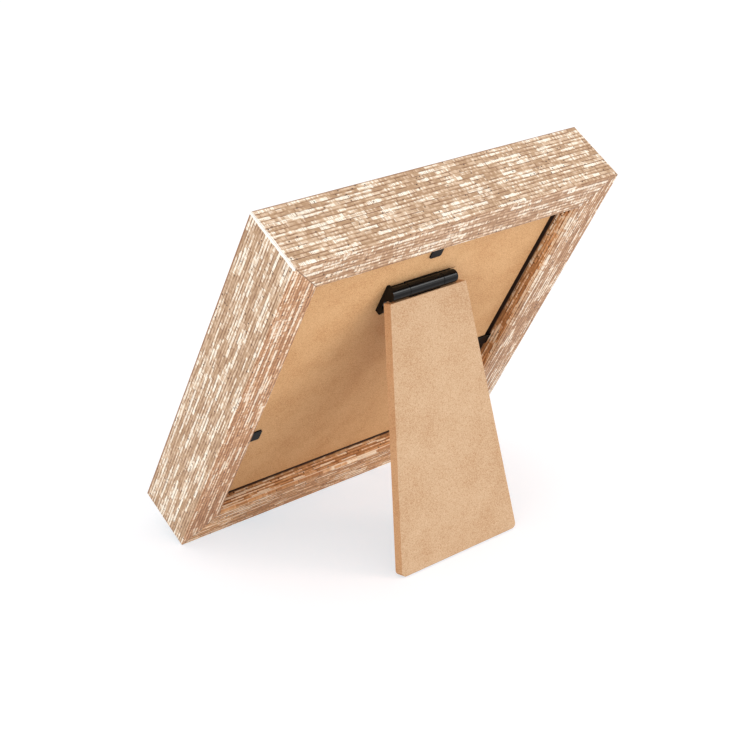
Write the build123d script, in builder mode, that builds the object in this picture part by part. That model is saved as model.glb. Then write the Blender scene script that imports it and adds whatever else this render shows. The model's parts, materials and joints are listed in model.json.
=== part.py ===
"""Easel back photo frame: a deep mitred block frame, its back board and its hinged leg.

Millimetres. X runs across the frame, +Y is behind it, +Z is up. The front of the frame faces -Y.
The frame stands as it does in use: it leans back on the lower back edge and on the foot of the leg.
The origin is on the ground, in the middle of the space that the object fills.
"""

import os
from math import acos, atan2, cos, degrees, hypot, radians, sin

from build123d import *

# ---------------------------------------------------------------- driving dimensions

frame_width = 127.0
frame_height = 132.5
frame_depth = 22.4

rail_width = 12.1  # width of the moulding's back face
lip_width = 4.0  # how far the front lip reaches inwards past the back face
edge_round = 0.4  # worn outer edges
inner_edge_round = 1.0  # softer edge where the back face turns into the recess
corner_round = 0.8  # sanded corners of the mitred frame
lip_bevel = 1.2  # slope on the sight edge

recess_depth = 5.5  # from the back face to the board
board_thickness = 3.0
insert_thickness = 0.3
glass_thickness = 2.0
sheet_clearance = 0.3  # round the glass and the photo insert, on each side
board_gap_low_x = 2.6  # the board sits off centre in its rebate
board_gap_high_x = 0.6
board_gap_bottom = 1.4
board_gap_top = 0.6

hinge_below_top = 31.7  # from the frame's upper edge down to the hinge axis
hinge_standoff = 2.4  # from the board to the hinge axis
knuckle_radius = 2.1
knuckle_flank = 1.05  # half the width that each foot has at the level of the axis
pin_radius = 0.75
press_clearance = 0.01
running_clearance = 0.05
knuckle_gap = 0.2
barrel_low_x = -11.6  # rounded end of the barrel
barrel_high_x = 14.0
seam_low_x = -5.6  # the two seams between the three knuckles
seam_high_x = 8.0
barrel_end_round = 0.8
pin_end_wall = 1.4  # plastic left beyond the pin at the rounded end

tongue_thickness = 1.2
slot_clearance = 0.1
foot_height = 0.9
foot_below_axis = 1.9
foot_above_axis = 0.9
toe_above_axis = 1.3
toe_thickness = 0.7
toe_gap = 0.1  # between the leg's stop toe and the board
board_tongue_sink = 0.3  # the slot's bar lies this far under the moving toe
board_tongue_end = 0.2  # the bar ends this short of the board's front
overrun_low_x = -13.4  # the saw cut of the slot runs on to here
overrun_width = 0.3
overrun_depth = 0.5

catch_thickness = 1.0
catch_inset = 0.2  # the catch overlaps the end knuckle by this much
catch_reach = 9.3  # from the hinge axis to the tip of the catch
catch_arm_height = 1.7
catch_tip_height = 2.0
catch_hook_height = 3.0
catch_root = 1.9  # from the hinge axis to where the arm starts to narrow
catch_neck = 3.8  # and to where it is narrow
catch_hook_start = 6.4
catch_hook_end = 7.2

leg_opening = 40.1  # between the open leg and the board, degrees
leg_thickness = 3.2
leg_fold_gap = 0.55  # between the folded leg's foot and the lower rail
leg_top_width = 30.6
leg_top_offset = 0.8  # the upper end sits this far off the middle
leg_foot_width = 49.1
leg_top_gap = 2.3  # from the hinge axis to the leg's upper end
leg_foot_round = 1.6
leg_top_round = 0.3
leg_tongue_width = 12.0
leg_tongue_depth = 6.0
leg_tongue_start = 1.4  # the tongue leaves the knuckle this far from the axis
pocket_clearance = 0.4
pocket_depth = 2.5

tab_width = 4.6
tab_thickness = 0.4
tab_length = 14.5  # whole tab, most of it over the board and the rest in the rail
tab_bend = 0.5  # from the wall to the line where the tab bends
tab_bend_gap = 0.05
tab_tip_chamfer = 0.45
tab_lift = 0.05  # over the board
tab_slot_play = 0.05
shank_out = 0.3
top_tab_x = -0.7
left_tab_height = 43.2
right_tab_rise = 9.4  # the right tab sits this much higher than the left one
top_tab_showing = 10.2  # from the rail's inner wall to the tip
side_tab_showing = 9.1

# ---------------------------------------------------------------- places worked out from them

half_width = frame_width / 2
rebate_depth = recess_depth + board_thickness + insert_thickness + glass_thickness
inner_half_width = half_width - rail_width
inner_top = frame_height - rail_width

hinge_height = frame_height - hinge_below_top
axis_front = recess_depth - hinge_standoff
leg_reach = hinge_height - rail_width - leg_fold_gap

# The frame leans back on its rounded lower back edge until the leg's inner foot edge reaches the
# ground. The foot's place is taken up the frame and rearwards, from the middle of that round.
opening = radians(leg_opening)
foot_up = (
    hinge_height - leg_reach * cos(opening) - leg_thickness / 2 * sin(opening) - edge_round
)
foot_rear = (
    leg_reach * sin(opening) - leg_thickness / 2 * cos(opening) - axis_front + edge_round
)
lean = acos(-edge_round / hypot(foot_up, foot_rear)) - atan2(foot_rear, foot_up)
leg_tilt = opening - lean

# The round's own lowest point is on the ground too.
round_drop = edge_round * (cos(lean) + sin(lean) - 1)
middle_y = (frame_height * sin(lean) - frame_depth * cos(lean)) / 2

# Frame plane: x across, y up the frame, z towards the front. Its zero is the back face.
frame_plane = Plane(
    origin=(0, -middle_y, -round_drop),
    x_dir=(1, 0, 0),
    z_dir=(0, -cos(lean), sin(lean)),
)


def in_frame(x, up, front):
    """World point of a place given across, up the frame, and forwards from its back face."""
    return frame_plane.from_local_coords(Vector(x, up, front))


hinge_point = in_frame(0, hinge_height, axis_front)

# Leg plane: x across, y up the leg, z towards the frame. Its zero is the leg's mid-thickness.
leg_plane = Plane(
    origin=hinge_point,
    x_dir=(1, 0, 0),
    z_dir=(0, -cos(leg_tilt), -sin(leg_tilt)),
)

# Hinge section plane: x down the frame, y out of the board, z across. Its zero is on the axis.
section_plane = Plane(
    origin=hinge_point,
    x_dir=frame_plane.y_dir * -1,
    z_dir=(1, 0, 0),
)
board_level = -hinge_standoff

os.makedirs("parts", exist_ok=True)


def save(builder, name):
    """Label a finished piece and write it to its own file."""
    builder.part.label = name
    export_step(builder.part, f"parts/{name}.step")


# ---------------------------------------------------------------- mitred rails


def rail_plane(side):
    """Plane at the middle of a rail's outer face: x along it, y inwards, z to the front."""
    places = {
        "top": (in_frame(0, frame_height, 0), Vector(-1, 0, 0)),
        "bottom": (in_frame(0, 0, 0), Vector(1, 0, 0)),
        "left": (in_frame(half_width, frame_height / 2, 0), frame_plane.y_dir),
        "right": (in_frame(-half_width, frame_height / 2, 0), frame_plane.y_dir * -1),
    }
    origin, along = places[side]
    return Plane(origin=origin, x_dir=along, z_dir=frame_plane.z_dir)


def mitred(length, width):
    """Corners of a strip whose ends are cut at 45 degrees."""
    half = length / 2
    return [(-half, 0), (half, 0), (half - width, width), (width - half, width)]


# Each tab: its place along the rail's own plane, and how much of it shows.
tabs = {
    "top": (-top_tab_x, top_tab_showing),
    "left": (left_tab_height - frame_height / 2, side_tab_showing),
    "right": (frame_height / 2 - left_tab_height - right_tab_rise, side_tab_showing),
}
tab_back = recess_depth - tab_lift - tab_thickness  # rear face of the tabs, in the frame plane


def make_rail(side, length):
    """One rail: back part, front lip, worn edges, and the slot for its tab's shank."""
    plane = rail_plane(side)
    with BuildPart() as rail:
        with BuildSketch(plane):
            Polygon(*mitred(length, rail_width), align=None)
        extrude(amount=rebate_depth)
        with BuildSketch(plane.offset(rebate_depth)):
            Polygon(*mitred(length, rail_width + lip_width), align=None)
        extrude(amount=frame_depth - rebate_depth)

        # Long edges, told apart by where they lie in the rail's own section.
        def long_edge(inwards, front):
            place = plane.from_local_coords(Vector(0, inwards, front))
            return rail.edges().filter_by(Axis(plane.origin, plane.x_dir)).sort_by_distance(place)[0]

        fillet([long_edge(0, 0), long_edge(0, frame_depth)], radius=edge_round)
        fillet(long_edge(rail_width, 0), radius=inner_edge_round)
        chamfer(long_edge(rail_width + lip_width, frame_depth), length=lip_bevel)

        # Sanded corners of the whole frame.
        with BuildSketch(frame_plane):
            with Locations((0, frame_height / 2)):
                RectangleRounded(frame_width, frame_height, corner_round)
        extrude(amount=frame_depth, mode=Mode.INTERSECT)

        if side in tabs:
            place, showing = tabs[side]
            with BuildSketch(plane.offset(tab_back - tab_slot_play)):
                with Locations((place, rail_width)):
                    Rectangle(
                        tab_width + 2 * tab_slot_play,
                        tab_length - showing + tab_slot_play,
                        align=(Align.CENTER, Align.MAX),
                    )
            extrude(amount=tab_thickness + 2 * tab_slot_play, mode=Mode.SUBTRACT)
    return rail


rail_top = make_rail("top", frame_width)
rail_bottom = make_rail("bottom", frame_width)
rail_left = make_rail("left", frame_height)
rail_right = make_rail("right", frame_height)
save(rail_top, "rail_top")
save(rail_bottom, "rail_bottom")
save(rail_left, "rail_left")
save(rail_right, "rail_right")

# ---------------------------------------------------------------- sheets in the rebate

board_low_x = board_gap_low_x - inner_half_width
board_high_x = inner_half_width - board_gap_high_x
board_low = rail_width + board_gap_bottom
board_high = inner_top - board_gap_top
tongue_low_x = barrel_low_x + slot_clearance
tongue_high_x = barrel_high_x - catch_inset - slot_clearance
slot_length = tongue_high_x - tongue_low_x + 2 * slot_clearance
slot_middle_x = (tongue_low_x + tongue_high_x) / 2
slot_half_height = tongue_thickness / 2 + slot_clearance


def make_sheet(front, thickness):
    """A sheet that fills the rebate with the stated clearance all round."""
    with BuildPart() as sheet:
        with BuildSketch(frame_plane.offset(front)):
            with Locations((0, frame_height / 2)):
                Rectangle(
                    2 * (inner_half_width - sheet_clearance),
                    inner_top - rail_width - 2 * sheet_clearance,
                )
        extrude(amount=thickness)
    return sheet


photo_insert = make_sheet(recess_depth + board_thickness, insert_thickness)
save(photo_insert, "photo_insert")

glass = make_sheet(recess_depth + board_thickness + insert_thickness, glass_thickness)
save(glass, "glass")

with BuildPart() as backing_board:
    with BuildSketch(frame_plane.offset(recess_depth)):
        with Locations(((board_low_x + board_high_x) / 2, (board_low + board_high) / 2)):
            Rectangle(board_high_x - board_low_x, board_high - board_low)
        with Locations((slot_middle_x, hinge_height)):
            Rectangle(slot_length, 2 * slot_half_height, mode=Mode.SUBTRACT)
    extrude(amount=board_thickness)
    # Overrun of the slot's saw cut along its upper side.
    with BuildSketch(frame_plane.offset(recess_depth)):
        with Locations((overrun_low_x, hinge_height + slot_half_height)):
            Rectangle(
                slot_middle_x - overrun_low_x, overrun_width, align=(Align.MIN, Align.MAX)
            )
    extrude(amount=overrun_depth, mode=Mode.SUBTRACT)
save(backing_board, "backing_board")

# ---------------------------------------------------------------- hinge, half on the board

catch_high_x = barrel_high_x - catch_inset + catch_thickness
pin_low_x = barrel_low_x + pin_end_wall
pin_high_x = barrel_high_x - catch_inset

end_knuckles = (
    (barrel_low_x, seam_low_x - knuckle_gap / 2),
    (seam_high_x + knuckle_gap / 2, barrel_high_x),
)

with BuildPart() as hinge_board_half:
    for low_x, high_x in end_knuckles:
        with BuildSketch(section_plane.offset(low_x)):
            Circle(knuckle_radius)
        extrude(amount=high_x - low_x)
    rounded_end = hinge_board_half.edges().filter_by(GeomType.CIRCLE).sort_by(Axis.X)[0]
    fillet(rounded_end, radius=barrel_end_round)

    # Foot pads that seat the knuckles on the board.
    for low_x, high_x in end_knuckles:
        pad_low_x = low_x + barrel_end_round if low_x == barrel_low_x else low_x
        with BuildSketch(section_plane.offset(pad_low_x)):
            with BuildLine():
                Polyline(
                    (foot_below_axis, board_level),
                    (-foot_above_axis, board_level),
                    (-foot_above_axis, board_level + foot_height),
                    (-knuckle_flank, 0),
                    (knuckle_flank, 0),
                    (foot_below_axis, board_level + foot_height),
                    close=True,
                )
            make_face()
        extrude(amount=high_x - pad_low_x)

    # Bar in the board's slot, which ties the two end knuckles together under the moving one.
    with BuildSketch(section_plane.offset(tongue_low_x)):
        with Locations((0, board_level - board_tongue_sink)):
            Rectangle(
                tongue_thickness,
                board_thickness - board_tongue_sink - board_tongue_end,
                align=(Align.CENTER, Align.MAX),
            )
    extrude(amount=tongue_high_x - tongue_low_x)
    for low_x, high_x in (
        (tongue_low_x + barrel_end_round, seam_low_x - knuckle_gap / 2),
        (seam_high_x + knuckle_gap / 2, tongue_high_x),
    ):
        with BuildSketch(section_plane.offset(low_x)):
            with Locations((0, board_level)):
                Rectangle(tongue_thickness, 2 * board_tongue_sink)
        extrude(amount=high_x - low_x)

    # Catch: a flat arm on the board beside the leg, with a hook at its tip.
    with BuildSketch(section_plane.offset(catch_high_x - catch_thickness)):
        with BuildLine():
            Polyline(
                (-knuckle_radius, 0),
                (0, knuckle_radius),
                (catch_root, board_level + catch_hook_height),
                (catch_neck, board_level + catch_arm_height),
                (catch_hook_start, board_level + catch_arm_height),
                (catch_hook_start, board_level + catch_hook_height),
                (catch_hook_end, board_level + catch_hook_height),
                (catch_reach, board_level + catch_tip_height),
                (catch_reach, board_level),
                (-catch_root, board_level),
                close=True,
            )
        make_face()
        Circle(knuckle_radius)
    extrude(amount=catch_thickness)

    # Bore for the pin.
    with BuildSketch(section_plane.offset(pin_low_x)):
        Circle(pin_radius + press_clearance)
    extrude(amount=pin_high_x - pin_low_x, mode=Mode.SUBTRACT)
save(hinge_board_half, "hinge_board_half")

with BuildPart() as hinge_pin:
    with BuildSketch(section_plane.offset(pin_low_x)):
        Circle(pin_radius)
    extrude(amount=pin_high_x - pin_low_x)
save(hinge_pin, "hinge_pin")

# ---------------------------------------------------------------- hinge, half on the leg

knuckle_low_x = seam_low_x + knuckle_gap / 2
knuckle_high_x = seam_high_x - knuckle_gap / 2

with BuildPart() as hinge_leg_half:
    with BuildSketch(section_plane.offset(knuckle_low_x)):
        Circle(knuckle_radius)
        # Stop toe, which lies flat on the board while the leg is open.
        with Locations((0, board_level + toe_gap)):
            Rectangle(toe_above_axis, toe_thickness, align=(Align.MAX, Align.MIN))
    extrude(amount=knuckle_high_x - knuckle_low_x)
    with BuildSketch(section_plane.offset(knuckle_low_x)):
        Circle(pin_radius + running_clearance)
    extrude(amount=knuckle_high_x - knuckle_low_x, mode=Mode.SUBTRACT)
    # Tongue that runs down into the leg's kerf.
    knuckle_middle_x = (knuckle_low_x + knuckle_high_x) / 2
    with BuildSketch(leg_plane.offset(-tongue_thickness / 2)):
        with Locations((knuckle_middle_x, -leg_tongue_start)):
            Rectangle(
                leg_tongue_width,
                leg_top_gap + leg_tongue_depth - leg_tongue_start,
                align=(Align.CENTER, Align.MAX),
            )
    extrude(amount=tongue_thickness)
save(hinge_leg_half, "hinge_leg_half")

# ---------------------------------------------------------------- leg

with BuildPart() as easel_leg:
    with BuildSketch(leg_plane.offset(-leg_thickness / 2)) as leg_outline:
        Polygon(
            (leg_top_offset - leg_top_width / 2, -leg_top_gap),
            (-leg_foot_width / 2, -leg_reach),
            (leg_foot_width / 2, -leg_reach),
            (leg_top_offset + leg_top_width / 2, -leg_top_gap),
            align=None,
        )
        fillet(leg_outline.vertices().sort_by(Axis.Y)[:2], radius=leg_foot_round)
        fillet(leg_outline.vertices().sort_by(Axis.Y)[-2:], radius=leg_top_round)
    extrude(amount=leg_thickness)
    # Kerf for the hinge's tongue.
    with BuildSketch(leg_plane.offset(-tongue_thickness / 2 - slot_clearance)):
        with Locations((knuckle_middle_x, -leg_top_gap)):
            Rectangle(
                leg_tongue_width + 2 * slot_clearance,
                leg_tongue_depth + slot_clearance,
                align=(Align.CENTER, Align.MAX),
            )
    extrude(amount=tongue_thickness + 2 * slot_clearance, mode=Mode.SUBTRACT)
    # Pocket on the inner face, which the catch enters when the leg is folded.
    with BuildSketch(leg_plane.offset(leg_thickness / 2 - pocket_depth)):
        with Locations((catch_high_x - catch_thickness / 2, -leg_top_gap)):
            Rectangle(
                catch_thickness + 2 * pocket_clearance,
                catch_reach + pocket_clearance - leg_top_gap,
                align=(Align.CENTER, Align.MAX),
            )
    extrude(amount=pocket_depth, mode=Mode.SUBTRACT)
save(easel_leg, "easel_leg")

# ---------------------------------------------------------------- flexible tabs


def make_tab(side):
    """The blade of one tab, from the line where it bends to its tip over the board."""
    place, showing = tabs[side]
    plane = rail_plane(side).offset(tab_back)
    root = rail_width + tab_bend + tab_bend_gap
    tip = rail_width + showing
    half = tab_width / 2
    with BuildPart() as tab:
        with BuildSketch(plane):
            Polygon(
                (place - half, root),
                (place + half, root),
                (place + half, tip - tab_tip_chamfer),
                (place + half - tab_tip_chamfer, tip),
                (place - half + tab_tip_chamfer, tip),
                (place - half, tip - tab_tip_chamfer),
                align=None,
            )
        extrude(amount=tab_thickness)
    return tab


tab_top = make_tab("top")
tab_left = make_tab("left")
tab_right = make_tab("right")
save(tab_top, "tab_top")
save(tab_left, "tab_left")
save(tab_right, "tab_right")

with BuildPart() as tab_shanks:
    for shank_side, (shank_place, showing) in tabs.items():
        with BuildSketch(rail_plane(shank_side).offset(tab_back)):
            with Locations((shank_place, rail_width + shank_out)):
                Rectangle(
                    tab_width,
                    tab_length - showing + shank_out,
                    align=(Align.CENTER, Align.MAX),
                )
        extrude(amount=tab_thickness)
save(tab_shanks, "tab_shanks")

# ---------------------------------------------------------------- places that the record states

bottom_face = in_frame(0, 0, frame_depth / 2)
print("hinge axis", [round(value, 4) for value in hinge_point])
print("lean of the frame", round(degrees(lean), 4), "and of the leg", round(degrees(leg_tilt), 4))
print("bottom face centre", [round(value, 4) for value in bottom_face])
for tab_side, (tab_place, showing) in tabs.items():
    bend_line = rail_plane(tab_side).from_local_coords(
        Vector(tab_place, rail_width + tab_bend, tab_back + tab_thickness / 2)
    )
    bend_axis = rail_plane(tab_side).x_dir
    print("bend of the", tab_side, "tab", [round(value, 4) for value in bend_line], bend_axis)
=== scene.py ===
"""Looks of the easel back photo frame: foil moulding, fibre board, plastic hinge and steel tabs.

Metres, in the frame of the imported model: X across, +Y behind the frame, +Z up.
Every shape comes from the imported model, and this script gives each surface its finish.
"""

import json
from collections import namedtuple
from math import cos, radians, sin

import bpy
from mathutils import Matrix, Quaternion, Vector


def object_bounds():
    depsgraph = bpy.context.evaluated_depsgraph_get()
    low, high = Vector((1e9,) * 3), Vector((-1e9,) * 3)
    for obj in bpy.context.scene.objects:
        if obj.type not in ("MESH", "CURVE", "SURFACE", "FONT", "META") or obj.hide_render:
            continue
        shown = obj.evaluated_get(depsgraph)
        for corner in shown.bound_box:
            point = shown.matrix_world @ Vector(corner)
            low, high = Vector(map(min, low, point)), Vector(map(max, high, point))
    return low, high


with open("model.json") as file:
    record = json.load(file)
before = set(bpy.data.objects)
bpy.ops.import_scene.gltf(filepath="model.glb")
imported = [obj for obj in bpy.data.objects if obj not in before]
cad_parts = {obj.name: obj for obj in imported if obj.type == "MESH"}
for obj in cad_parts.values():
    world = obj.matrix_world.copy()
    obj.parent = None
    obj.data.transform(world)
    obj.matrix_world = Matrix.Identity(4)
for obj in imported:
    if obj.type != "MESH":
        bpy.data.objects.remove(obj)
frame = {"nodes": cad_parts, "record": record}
cad_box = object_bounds()
nodes = frame["nodes"]

MM = 0.001
GLASS_PLAY = 0.3  # between the glass and the rails, in millimetres

# ---------------------------------------------------------------- directions and edges of the frame

lower_face = next(mount for mount in frame["record"]["mounts"] if mount["name"] == "lower_face")
ACROSS = Vector((1, 0, 0))
UP = -Vector(lower_face["axis"])  # up the leaning frame
FRONT = ACROSS.cross(UP)  # from the back face to the front one


def reach(name, direction):
    """Lowest and highest place of a node's corners along a direction, in metres."""
    places = [direction.dot(vertex.co) for vertex in nodes[name].data.vertices]
    return min(places), max(places)


side_low, side_high = reach("rail_bottom", ACROSS)
foot_level = reach("rail_bottom", UP)[0]
head_level = reach("rail_top", UP)[1]
back_level, front_level = reach("rail_bottom", FRONT)
middle_up = (foot_level + head_level) / 2
half_width = (side_high - side_low) / 2
half_height = (head_level - foot_level) / 2

# In millimetres, forwards from the back face.
rail_depth = (front_level - back_level) / MM
recess_depth = (reach("backing_board", FRONT)[0] - back_level) / MM
lip_depth = (reach("glass", FRONT)[1] - back_level) / MM

# In millimetres, inwards from a rail's outer face to the wall of the opening.
wall_place = (side_high - reach("glass", ACROSS)[1]) / MM - GLASS_PLAY

# Each rail: the direction it runs in, the direction from its outer face to the opening, the place
# of that outer face along it, the middle of the rail, and half of its length.
Rail = namedtuple("Rail", "run inwards outer_face middle half_length")
RAILS = {
    "rail_top": Rail(ACROSS, -UP, -head_level, 0.0, half_width),
    "rail_bottom": Rail(ACROSS, UP, foot_level, 0.0, half_width),
    "rail_left": Rail(UP, -ACROSS, -side_high, middle_up, half_height),
    "rail_right": Rail(UP, ACROSS, side_low, middle_up, half_height),
}

# ---------------------------------------------------------------- node helpers

WHITE = (1, 1, 1, 1)
NOISE_RANGE = (0.3, 0.7)  # most of a noise node's values lie between these


def tone(red, green, blue):
    """Linear colour of an sRGB colour given from 0 to 255."""
    values = []
    for value in (red, green, blue):
        share = value / 255
        values.append(share / 12.92 if share <= 0.04045 else ((share + 0.055) / 1.055) ** 2.4)
    return (*values, 1.0)


class Recipe:
    """The node tree of a material or a world, built up one node at a time."""

    def __init__(self, owner):
        owner.use_nodes = True
        self.owner = owner
        self.tree = owner.node_tree
        self.shader = self.tree.nodes.get("Principled BSDF")

    def fill(self, node, values):
        """Link a node's inputs to the values that are sockets, and set the inputs to the others."""
        for key, value in values.items():
            if isinstance(value, bpy.types.NodeSocket):
                self.tree.links.new(value, node.inputs[key])
            else:
                node.inputs[key].default_value = value

    def add(self, kind, values, **settings):
        """A new node's outputs, after its settings are made and its inputs filled."""
        made = self.tree.nodes.new(kind)
        for key, value in settings.items():
            setattr(made, key, value)
        self.fill(made, values)
        return made.outputs

    def math(self, operation, *values):
        return self.add("ShaderNodeMath", dict(enumerate(values)), operation=operation)[0]

    def product(self, first, second):
        return self.math("MULTIPLY", first, second)

    def difference(self, first, second):
        return self.math("SUBTRACT", first, second)

    def vector_math(self, operation, first, second):
        return self.add("ShaderNodeVectorMath", {0: first, 1: second}, operation=operation)

    def dot(self, vector, direction):
        return self.vector_math("DOT_PRODUCT", vector, tuple(direction))["Value"]

    def along(self, point, direction, offset):
        """Distance of a point along a direction from an offset given in metres, in millimetres."""
        return self.product(self.difference(self.dot(point, direction), offset), 1 / MM)

    def span(self, value, low, high, to_low=0.0, to_high=1.0):
        """The value's place between low and high, kept within them, on a new scale."""
        values = {0: value, 1: low, 2: high, 3: to_low, 4: to_high}
        return self.add("ShaderNodeMapRange", values)[0]

    def fade(self, value, near, far, full=1.0):
        """The full share up to where the value is near, falling to 0 where it is far."""
        return self.span(value, near, far, full, 0.0)

    def sway(self, value, change, low=0.0, high=1.0):
        """The value's place between low and high, as a change of that much down or up."""
        return self.span(value, low, high, -change, change)

    def mix(self, share, first, second, way="MIX"):
        values = {0: share, 6: first, 7: second}
        return self.add("ShaderNodeMix", values, data_type="RGBA", blend_type=way)[2]

    def ramp(self, value, stops):
        """Colours between stops, each a place from 0 to 1 and a colour."""
        made = self.tree.nodes.new("ShaderNodeValToRGB")
        self.fill(made, {0: value})
        elements = made.color_ramp.elements
        while len(elements) < len(stops):
            elements.new(1.0)
        for element, (place, colour) in zip(elements, stops):
            element.position = place
            element.color = colour
        return made.outputs[0]

    def noise(self, vector, scale, detail=2.0, roughness=0.5):
        values = {"Vector": vector, "Scale": scale, "Detail": detail, "Roughness": roughness}
        return self.add("ShaderNodeTexNoise", values)[0]

    def vector(self, x, y, z):
        return self.add("ShaderNodeCombineXYZ", {0: x, 1: y, 2: z})[0]

    def coordinates(self):
        return self.add("ShaderNodeTexCoord", {})

    def rays(self, *kinds):
        """1 for rays of the named kinds, and 0 for all others."""
        path = self.add("ShaderNodeLightPath", {})
        found = path[f"Is {kinds[0]} Ray"]
        for kind in kinds[1:]:
            found = self.math("MAXIMUM", found, path[f"Is {kind} Ray"])
        return found

    def bump(self, height, distance, strength):
        """Relief of the surface, with its distance in millimetres."""
        values = {"Height": height, "Distance": distance * MM, "Strength": strength}
        self.fill(self.shader, {"Normal": self.add("ShaderNodeBump", values)[0]})

    def finish(self, colour, roughness, **sockets):
        """The owner, after its main shader's inputs are filled."""
        self.fill(self.shader, {"Base Color": colour, "Roughness": roughness, **sockets})
        return self.owner

    def choose(self, share, first, second):
        """The owner, after its surface is a mix of two shaders."""
        surface = self.add("ShaderNodeMixShader", {0: share, 1: first, 2: second})[0]
        self.fill(self.tree.nodes["Material Output"], {"Surface": surface})
        return self.owner


def new_recipe(name):
    return Recipe(bpy.data.materials.new(name))


# ---------------------------------------------------------------- wood-effect foil

# Lengths of the foil are in millimetres. A LINE has the distance up to which it is full, the one at
# which it ends, and its strength. A CHANCE or SHARE has the two levels of a random value between
# which a mark comes up, and a SHARE also has what there is of the mark at each of them.
ROW_WANDER = 0.25
WANDER_RATE = 0.05  # cells of the wander's noise in a millimetre
ROW_SHIFT = 211.0  # cells by which one row may lie shifted against another
ROW_LINE = (0.22, 0.34, 1.0)
ROW_LINE_SHARE = (0.4, 0.56, 0.0, 0.9)
BREAK_RATE = 0.3  # cells of the noise that breaks a row's line, in a millimetre
BREAK_STEP = 5.7  # cells from one row's breaks to the next row's
BAR_NARROWING = 0.16  # of a bar's half width, at most
BAR_EDGE = 0.06
END_LINE = (0.1, 0.22, 0.7)
END_CHANCE = (0.6, 0.65)
TICK_PITCH = 0.62  # of the ticks across a bar, like the teeth of a comb
TICK_LINE = (0.05, 0.14, 1.0)
TICK_CHANCE = (0.3, 0.8)
TICK_STRENGTH = 0.9
THREAD_PITCH = 0.46
THREAD_LENGTH = 6.0
THREAD_LINE = (0.07, 0.14, 1.0)
THREAD_LINE_SHARE = (0.5, 0.8, 0.0, 0.7)
PORE_CELL = 1.6
PORE_LINE = (0.13, 0.19, 0.95)  # with its distances as shares of a cell
PORE_CHANCE = (0.9, 0.93)
EDGE_LINE = (0.35, 0.55, 0.85)
# A painted highlight along the walls of the opening, where the inner edge rounds over.
WALL_HIGHLIGHT_LINE = (0.1, 0.2, 0.85)
WALL_HIGHLIGHT_PLACE = 1.0  # forwards from the back face
JOINT_LINE = (0.12, 0.22, 0.8)
WORN_ENDS = (-1.0, 1.0)  # round a rail's middle, from one end's worn width to the other's
WORN_EDGE = (-0.08, 0.08)
WORN_RAGGED = 0.18
RAGGED_SCALE = 500.0  # cells of the noise in a metre
FOIL_RELIEF = (0.03, 0.3)  # its height and its strength

# Where one side of a rail's section goes over into the next.
OFF_BACK = (0.1, 0.5)
OFF_OUTSIDE = (0.1, 0.35)
INTO_OPENING = (wall_place - 0.15, wall_place - 0.05)
BESIDE_BOARD = (recess_depth - 0.1, recess_depth + 0.2)
OFF_WALL = (lip_depth - 0.2, lip_depth)

# How pale the foil is, from 0 to 1, and what changes it.
PALE_MIDDLE = 0.48
EVERY_OTHER_ROW = 0.08
PATCH_CHANGE = 0.03
PATCH_SCALE = 0.12
PATCH_STRETCH = 0.5  # of that scale, along the grain
TICK_CHANGE = 0.3
BETWEEN_BARS = -0.26
FOIL_STOPS = (
    (0.0, tone(178, 142, 108)),
    (0.3, tone(210, 178, 147)),
    (0.5, tone(225, 197, 168)),
    (0.66, tone(254, 242, 222)),
    (1.0, tone(255, 246, 230)),
)

# Two levels of pale and what they bring: pale bars are glossier and take more ticks and less of
# the painted shade on the back face and walls.
FOIL_ROUGHNESS = (0.2, 0.9, 0.56, 0.46)
TICKS_ON_PALE = (0.4, 0.6, 0.2, 1.0)
BACK_SHADE_ON_PALE = (0.48, 0.66, 1.0, 0.38)
WALL_SHADE_ON_PALE = (0.46, 0.66, 1.0, 0.4)

# Numbers that keep one random pattern of a rail apart from another.
TICK_SEED = 31
THREAD_SEED = 67
PATCH_SEED = 7

TICK_BROWN = tone(164, 124, 90)
LINE_BROWN = tone(116, 72, 38)
PORE_BROWN = tone(66, 42, 28)
# Painted warm shade that darkens the walls of the opening.
WALL_SHADE = tone(253, 219, 180)
# Colour of the painted highlight line on the walls.
WALL_HIGHLIGHT_TONE = tone(250, 226, 196)
# Painted shade in the rebate, where the walls go on past the board.
REBATE_SHADE = tone(52, 34, 24)
EDGE_BROWN = tone(150, 104, 70)
WORN_BACKING = tone(255, 250, 240)
JOINT_BROWN = tone(112, 76, 50)

Place = namedtuple("Place", "point along inward depth across")
Rows = namedtuple("Rows", "row first second third to_end to_side to_middle")


def foil_place(recipe, rail, seed):
    """Where a point lies on a rail.

    It is a place along the rail, inwards from its outer face, forwards from its back face, and
    across the grain, which goes round the section and wanders a little.
    """
    point = recipe.coordinates()["Object"]
    along = recipe.along(point, rail.run, rail.middle)
    inward = recipe.along(point, rail.inwards, rail.outer_face)
    depth = recipe.along(point, FRONT, back_level)
    bend_point = recipe.vector(recipe.product(along, WANDER_RATE), seed, 0.0)
    bend = recipe.noise(bend_point, 1.0)
    across = recipe.math("MULTIPLY_ADD", bend, ROW_WANDER, recipe.difference(inward, depth))
    return Place(point, along, inward, depth, across)


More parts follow.
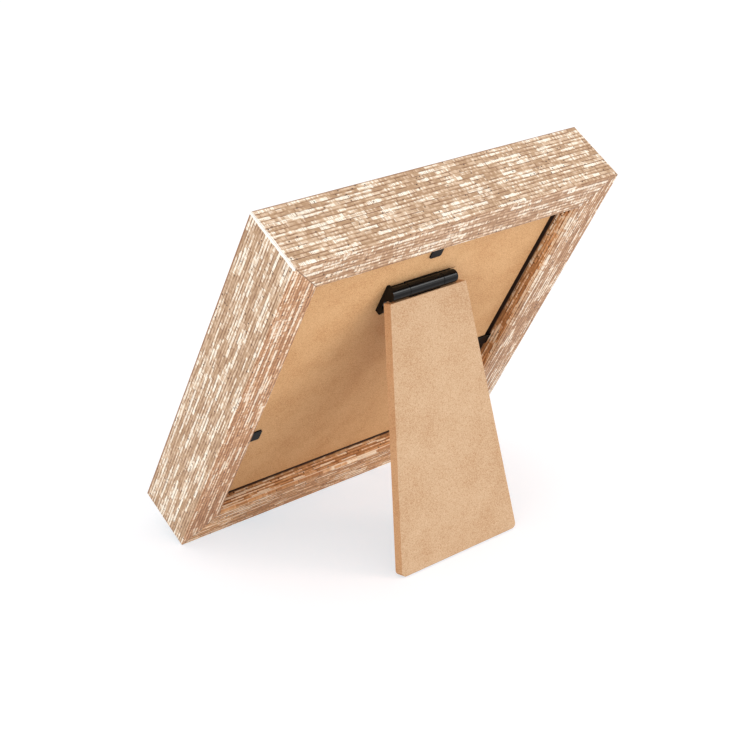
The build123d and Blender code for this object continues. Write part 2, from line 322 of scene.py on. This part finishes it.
def foil_rows(recipe, place, pitch, length, seed):
    """Cells laid end to end in rows.

    Gives the number of the row, three random values of the cell, and the distances to the cell's
    nearest end, to one side of the row and to its middle.
    """
    rows = recipe.math("DIVIDE", place.across, pitch)
    row = recipe.math("FLOOR", rows)
    chance = recipe.add(
        "ShaderNodeTexWhiteNoise", {"W": recipe.math("ADD", row, seed)}, noise_dimensions="1D"
    )["Value"]
    shift = recipe.math("MULTIPLY_ADD", chance, ROW_SHIFT, seed)
    run = recipe.math("ADD", recipe.math("DIVIDE", place.along, length), shift)
    line = {"W": run, "Scale": 1.0}
    cell = recipe.add("ShaderNodeTexVoronoi", line, voronoi_dimensions="1D")["Color"]
    end = recipe.add(
        "ShaderNodeTexVoronoi", line, voronoi_dimensions="1D", feature="DISTANCE_TO_EDGE"
    )["Distance"]
    first, second, third = recipe.add("ShaderNodeSeparateColor", {0: cell})
    to_side = recipe.product(recipe.math("FRACT", rows), pitch)
    to_middle = recipe.math("ABSOLUTE", recipe.difference(to_side, pitch / 2))
    return Rows(row, first, second, third, recipe.product(end, length), to_side, to_middle)


def paleness(recipe, place, foil, bars, ticks, threads):
    """How pale the foil is at a point, and how far the point is inside a bar, both from 0 to 1."""
    half = recipe.span(bars.second, 0.0, 1.0, foil.bar_half - BAR_NARROWING, foil.bar_half)
    in_bar = recipe.span(recipe.difference(half, bars.to_middle), -BAR_EDGE, BAR_EDGE)
    patch_point = recipe.vector(
        recipe.product(place.along, PATCH_STRETCH), place.across, foil.seed + PATCH_SEED
    )
    patch = recipe.noise(patch_point, PATCH_SCALE, 1.0)
    bar_change = PALE_MIDDLE - foil.thread / 2  # bars differ less where threads differ more
    pale = recipe.span(bars.first, 0.0, 1.0, PALE_MIDDLE - bar_change, PALE_MIDDLE + bar_change)
    for change in (
        recipe.sway(recipe.math("PINGPONG", bars.row, 1.0), EVERY_OTHER_ROW),
        recipe.sway(patch, PATCH_CHANGE, *NOISE_RANGE),
        recipe.sway(ticks.first, TICK_CHANGE * foil.comb),
        recipe.sway(threads.first, foil.thread),
        recipe.span(in_bar, 0.0, 1.0, BETWEEN_BARS, 0.0),
    ):
        pale = recipe.math("ADD", pale, change)
    return pale, in_bar


def fine_marks(recipe, pale, comb, ticks, threads):
    """How strongly the ticks across the bars and the lines between the threads show."""
    tick = recipe.product(
        recipe.fade(ticks.to_end, *TICK_LINE),
        recipe.span(ticks.second, *TICK_CHANCE, 0.0, TICK_STRENGTH * comb),
    )
    tick = recipe.product(tick, recipe.span(pale, *TICKS_ON_PALE))
    thread_line = recipe.product(
        recipe.fade(threads.to_side, *THREAD_LINE), recipe.span(threads.third, *THREAD_LINE_SHARE)
    )
    return recipe.math("MAXIMUM", tick, thread_line)


def brown_lines(recipe, along, seed, bars):
    """How strongly the broken lines between the rows show, and those at the ends of some bars."""
    break_point = recipe.vector(
        recipe.product(along, BREAK_RATE), recipe.product(bars.row, BREAK_STEP), seed
    )
    breaks = recipe.noise(break_point, 1.0, 2.0)
    row_line = recipe.product(
        recipe.fade(bars.to_side, *ROW_LINE), recipe.span(breaks, *ROW_LINE_SHARE)
    )
    end_line = recipe.product(
        recipe.fade(bars.to_end, *END_LINE), recipe.span(bars.third, *END_CHANCE)
    )
    return recipe.math("MAXIMUM", row_line, end_line)


def dark_pores(recipe, place):
    """How strongly the small pores show."""
    cells = recipe.add(
        "ShaderNodeTexVoronoi",
        {"Vector": recipe.vector(place.along, place.across, 0.0), "Scale": 1 / PORE_CELL},
        voronoi_dimensions="2D",
    )
    chance = recipe.add("ShaderNodeSeparateColor", {0: cells["Color"]})[0]
    return recipe.product(
        recipe.fade(cells["Distance"], *PORE_LINE), recipe.span(chance, *PORE_CHANCE)
    )


def shade_back_face(recipe, colour, pale, depth, tint):
    """The colour with painted shade on the back face, a warm tint that differs from rail to rail.
    """
    share = recipe.product(
        recipe.fade(depth, *OFF_BACK), recipe.span(pale, *BACK_SHADE_ON_PALE)
    )
    return recipe.mix(share, colour, recipe.mix(1.0, colour, tint, "MULTIPLY"))


def shade_opening(recipe, colour, pale, place):
    """Painted shade on the walls of the opening and in its rebate, and a painted highlight line."""
    on_wall = recipe.product(
        recipe.span(place.inward, *INTO_OPENING), recipe.fade(place.depth, *OFF_WALL)
    )
    wall = recipe.mix(recipe.span(pale, *WALL_SHADE_ON_PALE), colour, WALL_SHADE, "MULTIPLY")
    to_highlight = recipe.math("ABSOLUTE", recipe.difference(place.depth, WALL_HIGHLIGHT_PLACE))
    wall = recipe.mix(recipe.fade(to_highlight, *WALL_HIGHLIGHT_LINE), wall, WALL_HIGHLIGHT_TONE)
    wall = recipe.mix(recipe.span(place.depth, *BESIDE_BOARD), wall, REBATE_SHADE)
    return recipe.mix(on_wall, colour, wall)


def mark_edge(recipe, colour, place):
    """The colour with a brown line along the front's outer edge."""
    to_edge = recipe.math("ADD", place.inward, recipe.difference(rail_depth, place.depth))
    return recipe.mix(recipe.fade(to_edge, *EDGE_LINE), colour, EDGE_BROWN)


def mark_mitres(recipe, colour, place, half_length, worn):
    """The colour with a dark line in the joints, and pale backing where outer corners are worn."""
    to_end = recipe.difference(half_length / MM, recipe.math("ABSOLUTE", place.along))
    to_joint = recipe.difference(to_end, recipe.math("MAXIMUM", place.inward, 0.0))
    worn_width = recipe.span(place.along, *WORN_ENDS, *worn)
    ragged = recipe.sway(recipe.noise(place.point, RAGGED_SCALE), WORN_RAGGED, *NOISE_RANGE)
    past_worn = recipe.difference(recipe.math("ADD", to_joint, ragged), worn_width)
    on_outside = recipe.fade(place.inward, *OFF_OUTSIDE)
    worn_share = recipe.product(recipe.fade(past_worn, *WORN_EDGE), on_outside)
    colour = recipe.mix(worn_share, colour, WORN_BACKING)
    line_share = recipe.product(
        recipe.fade(to_joint, *JOINT_LINE), recipe.difference(1.0, on_outside)
    )
    return recipe.mix(line_share, colour, JOINT_BROWN)


def foil_wood(name, rail, foil):
    """Foil on one rail, with its grain along the rail and round its section."""
    recipe = new_recipe(f"foil_{name}")
    place = foil_place(recipe, rail, foil.seed)
    bars = foil_rows(recipe, place, foil.row_pitch, foil.bar_length, foil.seed)
    ticks = foil_rows(recipe, place, foil.row_pitch, TICK_PITCH, foil.seed + TICK_SEED)
    threads = foil_rows(recipe, place, THREAD_PITCH, THREAD_LENGTH, foil.seed + THREAD_SEED)
    pale, in_bar = paleness(recipe, place, foil, bars, ticks, threads)
    lines = brown_lines(recipe, place.along, foil.seed, bars)

    colour = recipe.ramp(pale, FOIL_STOPS)
    colour = recipe.mix(fine_marks(recipe, pale, foil.comb, ticks, threads), colour, TICK_BROWN)
    colour = recipe.mix(lines, colour, LINE_BROWN)
    colour = recipe.mix(dark_pores(recipe, place), colour, PORE_BROWN)
    # Painted shade: the back face gets a warmer, darker tint on each rail.
    colour = shade_back_face(recipe, colour, pale, place.depth, foil.back_tint)
    colour = shade_opening(recipe, colour, pale, place)
    colour = mark_edge(recipe, colour, place)
    colour = mark_mitres(recipe, colour, place, rail.half_length, foil.worn)

    recipe.bump(recipe.difference(in_bar, lines), *FOIL_RELIEF)
    return recipe.finish(colour, recipe.span(pale, *FOIL_ROUGHNESS))


# ---------------------------------------------------------------- fibre board

# Layers of a board's mottle: the scale of the noise in cells to a millimetre, its detail and
# roughness, and the change it makes.
BOARD_LAYERS = ((2.6, 3.0, 0.65, 0.5), (6.0, 2.0, 0.6, 0.35), (0.09, 2.0, 0.5, 0.15))
BOARD_STOPS = (
    (0.0, tone(214, 188, 160)),
    (0.5, tone(241, 235, 228)),
    (1.0, tone(255, 255, 255)),
)
BOARD_ROUGHNESS = 0.78
BOARD_RELIEF = (0.05, 0.5)  # its height in millimetres and its strength
SPECK_SCALE = 1.9
SPECK_SHARE = (0.68, 0.76, 0.0, 0.4)  # two levels of the noise, and the specks' strength at each
SPECK_BROWN = tone(160, 108, 66)
CUT_TURN = (0.6, 0.9)  # cosines of the turn from the face: cut edge up to 0.6, face from 0.9 on


def widest_normal(name):
    """Direction that a node's largest facet faces."""
    return max(nodes[name].data.polygons, key=lambda facet: facet.area).normal.copy()


def fibre_board(name, face, edge, facing, seed):
    """Bare fibre board: fine fibres on its faces, and cut edges of another brown."""
    recipe = new_recipe(name)
    coordinates = recipe.coordinates()
    point = recipe.vector_math("MULTIPLY", coordinates["Object"], (1 / MM,) * 3)[0]
    point = recipe.vector_math("ADD", point, (seed,) * 3)[0]
    level = 0.5
    for scale, detail, roughness, change in BOARD_LAYERS:
        layer = recipe.noise(point, scale, detail, roughness)
        level = recipe.math("ADD", recipe.sway(layer, change, *NOISE_RANGE), level)
    turn = recipe.math("ABSOLUTE", recipe.dot(coordinates["Normal"], facing))
    base = recipe.mix(recipe.fade(turn, *CUT_TURN), face, edge)
    colour = recipe.mix(1.0, base, recipe.ramp(level, BOARD_STOPS), "MULTIPLY")
    specks = recipe.span(recipe.noise(point, SPECK_SCALE, 1.0), *SPECK_SHARE)
    recipe.bump(level, *BOARD_RELIEF)
    return recipe.finish(recipe.mix(specks, colour, SPECK_BROWN), BOARD_ROUGHNESS)


# ---------------------------------------------------------------- plastic, steel, glass and paper

CRISP_RANGE = (0.35, 0.65)  # of a noise node's values, for more contrast than NOISE_RANGE gives
MOTTLE_SCALE = 900.0  # cells of the noise in a metre
MOTTLE_DARK = 0.8  # colour of the mottle's dark places, as a share of the material's own
MOTTLE_ROUGHNESS = (-0.02, 0.04)  # change that the mottle makes
MOTTLE_RELIEF = 0.3  # strength of its relief, whose height is the grain in millimetres
GLASS_TONE = tone(252, 254, 253)
CARD_FIBRE_SCALE = 2500.0  # cells of the noise in a metre
CARD_WHITES = (tone(236, 234, 229), tone(246, 245, 241))
CARD_BACK = tone(38, 34, 32)
CARD_TURN = (0.4, 0.6)  # cosines of the turn from the front: back up to 0.4, front from 0.6 on
CARD_RELIEF = (0.02, 0.3)  # its height in millimetres and its strength


def satin_solid(name, colour, roughness, grain, **sockets):
    """A plain material with a fine mottle in its relief, gloss and colour."""
    recipe = new_recipe(name)
    mottle = recipe.noise(recipe.coordinates()["Object"], MOTTLE_SCALE, 3.0)
    recipe.bump(mottle, grain, MOTTLE_RELIEF)
    low, high = (roughness + change for change in MOTTLE_ROUGHNESS)
    dark = tuple(MOTTLE_DARK * value for value in colour[:3]) + (1.0,)
    tint = recipe.mix(recipe.span(mottle, *CRISP_RANGE), dark, colour)
    return recipe.finish(tint, recipe.span(mottle, *NOISE_RANGE, low, high), **sockets)


def clear_glass():
    """Clear glass that lets the light on to what lies behind it."""
    recipe = new_recipe("clear_glass")
    recipe.finish(GLASS_TONE, roughness=0.02, **{"Transmission Weight": 1.0, "IOR": 1.5})
    open_pane = recipe.add("ShaderNodeBsdfTransparent", {"Color": WHITE})[0]
    return recipe.choose(recipe.rays("Shadow", "Diffuse"), recipe.shader.outputs[0], open_pane)


def insert_card():
    """Plain card: white on the side that shows through the glass, dark behind."""
    recipe = new_recipe("insert_card")
    coordinates = recipe.coordinates()
    fibres = recipe.noise(coordinates["Object"], CARD_FIBRE_SCALE, 3.0)
    white = recipe.mix(recipe.span(fibres, *CRISP_RANGE), *CARD_WHITES)
    in_front = recipe.span(recipe.dot(coordinates["Normal"], FRONT), *CARD_TURN)
    recipe.bump(fibres, *CARD_RELIEF)
    return recipe.finish(recipe.mix(in_front, CARD_BACK, white), roughness=0.7)


def dress(names, material):
    """Give the named CAD nodes one material."""
    for name in names:
        slots = nodes[name].data.materials
        slots.clear()
        slots.append(material)


# Each rail's foil: the pitch of its rows, the length and half width of its bars, the strength of
# its comb's ticks and of its threads, the worn width at its two ends, the painted shade tint of its
# back face, and the seed of its random patterns.
Foil = namedtuple("Foil", "row_pitch bar_length bar_half comb thread worn back_tint seed")
FOILS = {
    "rail_top": Foil(1.38, 6.0, 0.47, 0.85, 0.24, (0.2, 0.2), tone(240, 232, 227), 5.0),
    "rail_bottom": Foil(1.1, 9.0, 0.34, 0.4, 0.42, (0.3, 0.3), tone(255, 228, 192), 46.0),
    "rail_left": Foil(1.1, 9.0, 0.36, 0.55, 0.22, (0.3, 1.0), tone(240, 216, 197), 85.0),
    "rail_right": Foil(1.1, 9.0, 0.36, 0.55, 0.32, (0.3, 0.3), tone(234, 217, 203), 125.0),
}
for rail_name, rail_foil in FOILS.items():
    dress([rail_name], foil_wood(rail_name, RAILS[rail_name], rail_foil))

board_mdf = fibre_board(
    "board_mdf", face=tone(223, 180, 131), edge=tone(120, 80, 50), facing=FRONT, seed=0.0
)
leg_mdf = fibre_board(
    "leg_mdf",
    face=tone(210, 178, 144),
    edge=tone(214, 170, 127),
    facing=widest_normal("easel_leg"),
    seed=50.0,
)
hinge_plastic = satin_solid(
    "hinge_plastic", tone(7, 7, 8), roughness=0.14, grain=0.002, **{"Specular IOR Level": 0.16}
)
tab_steel = satin_solid(
    "tab_steel", tone(15, 15, 16), roughness=0.35, grain=0.02, **{"Specular IOR Level": 0.08}
)
pin_steel = satin_solid(
    "pin_steel", tone(190, 190, 192), roughness=0.35, grain=0.02, Metallic=1.0
)
dress(["backing_board"], board_mdf)
dress(["easel_leg"], leg_mdf)
dress(["hinge_board_half", "hinge_leg_half"], hinge_plastic)
dress(["tab_top", "tab_left", "tab_right", "tab_shanks"], tab_steel)
dress(["hinge_pin"], pin_steel)
dress(["glass"], clear_glass())
dress(["photo_insert"], insert_card())

# ---------------------------------------------------------------- floor, world and lamps

SHOWING_RAYS = ("Camera", "Glossy", "Transmission")  # these show the background
DOME_LEVEL = 0.9  # of the light that falls on the object from all round
FLOOR_HALF = 1.5
FLOOR_CORNERS = ((-1, -1), (1, -1), (1, 1), (-1, 1))
FLOOR_LIT = (0.95, 0.95, 0.95, 1)  # throws light up at the object

# What shows of the floor takes its shadow with one part and fills up to white with the other, so
# that the shadow is faint. The tints of the two parts keep the shadow grey.
FLOOR_SHADED = (0.7, 0.52, 0.46, 1)
FLOOR_GLOW = (0.39, 0.55, 0.62, 1)

# Each lamp's place, its width and its power in watts.
LAMPS = {
    "key": ((-0.55, 0.95, 0.25), 0.7, 2.7),
    "glint": ((-0.607, 0.727, 0.576), 0.25, 1.6),
    "fill": ((1.1, 0.5, 0.3), 0.7, 3.3),
}

floor_mesh = bpy.data.meshes.new("floor")
floor_mesh.from_pydata(
    [(x * FLOOR_HALF, y * FLOOR_HALF, 0) for x, y in FLOOR_CORNERS], [], [(0, 1, 2, 3)]
)
floor = bpy.data.objects.new("floor", floor_mesh)
bpy.context.scene.collection.objects.link(floor)

paint = new_recipe("floor")
lit = paint.add("ShaderNodeBsdfDiffuse", {"Color": FLOOR_LIT})[0]
shaded = paint.add("ShaderNodeBsdfDiffuse", {"Color": FLOOR_SHADED})[0]
glow = paint.add("ShaderNodeEmission", {"Color": FLOOR_GLOW})[0]
shown = paint.add("ShaderNodeAddShader", {0: shaded, 1: glow})[0]
floor_mesh.materials.append(paint.choose(paint.rays(*SHOWING_RAYS), lit, shown))

world = bpy.data.worlds.new("studio")
bpy.context.scene.world = world
sky = Recipe(world)
strength = sky.span(sky.rays(*SHOWING_RAYS), 0.0, 1.0, DOME_LEVEL, 1.0)
sky.fill(world.node_tree.nodes["Background"], {"Color": WHITE, "Strength": strength})


def soft_lamp(name, place, width, power):
    """A square lamp that looks at the object's middle."""
    data = bpy.data.lights.new(name, "AREA")
    data.size = width
    data.energy = power
    lamp = bpy.data.objects.new(name, data)
    lamp.location = place
    target = (cad_box[0] + cad_box[1]) / 2
    lamp.rotation_mode = "QUATERNION"
    lamp.rotation_quaternion = (target - Vector(place)).to_track_quat("-Z", "Y")
    bpy.context.scene.collection.objects.link(lamp)


for lamp_name, lamp_values in LAMPS.items():
    soft_lamp(lamp_name, *lamp_values)

# ---------------------------------------------------------------- camera of the photograph

CAMERA_AZIMUTH = radians(140.811)
CAMERA_ELEVATION = radians(23.303)
CAMERA_ROLL = radians(-1.595)
CAMERA_DISTANCE = 459.586 * MM
CAMERA_TARGET = Vector((37.946, 45.486, 74.862)) * MM
LENS = 77.605
SENSOR_WIDTH = 36.0
CLIP_START = 0.01
CLIP_END = 10.0

back = Vector(
    (
        sin(CAMERA_AZIMUTH) * cos(CAMERA_ELEVATION),
        -cos(CAMERA_AZIMUTH) * cos(CAMERA_ELEVATION),
        sin(CAMERA_ELEVATION),
    )
)
camera_data = bpy.data.cameras.new("camera")
camera_data.lens = LENS
camera_data.sensor_width = SENSOR_WIDTH
camera_data.clip_start = CLIP_START
camera_data.clip_end = CLIP_END
camera = bpy.data.objects.new("camera", camera_data)
camera.location = CAMERA_TARGET + back * CAMERA_DISTANCE
camera.rotation_mode = "QUATERNION"
upright = (-back).to_track_quat("-Z", "Y")
camera.rotation_quaternion = upright @ Quaternion((0, 0, 1), CAMERA_ROLL)
bpy.context.scene.collection.objects.link(camera)
bpy.context.scene.camera = camera

bpy.context.scene.view_settings.view_transform = "Standard"
